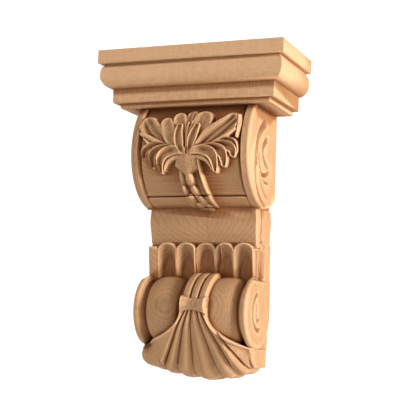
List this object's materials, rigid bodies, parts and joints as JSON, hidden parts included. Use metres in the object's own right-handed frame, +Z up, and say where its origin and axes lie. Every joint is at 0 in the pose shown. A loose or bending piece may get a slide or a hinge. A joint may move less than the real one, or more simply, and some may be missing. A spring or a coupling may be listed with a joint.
{
  "type": "carved wooden wall capital",
  "caption": "Carved beech wall capital: moulded top slab, scrolled block with a palmette, plain neck, fluted band, tied bolster and a fan shell below.",
  "frame": {"origin": "on the flat back that meets the wall, on the capital's centre line, halfway between its top face and the lowest point of its shell", "axes": "+Z up, +Y out of the back towards the wall, so the carved front faces -Y, +X to the right when facing the carved front"},
  "size_m": [0.15, 0.072, 0.25],
  "materials": {
    "beech": "unfinished, sanded, matt"
  },
  "bodies": {
    "root": {"carved_capital": "beech"}
  },
  "joints": []
}
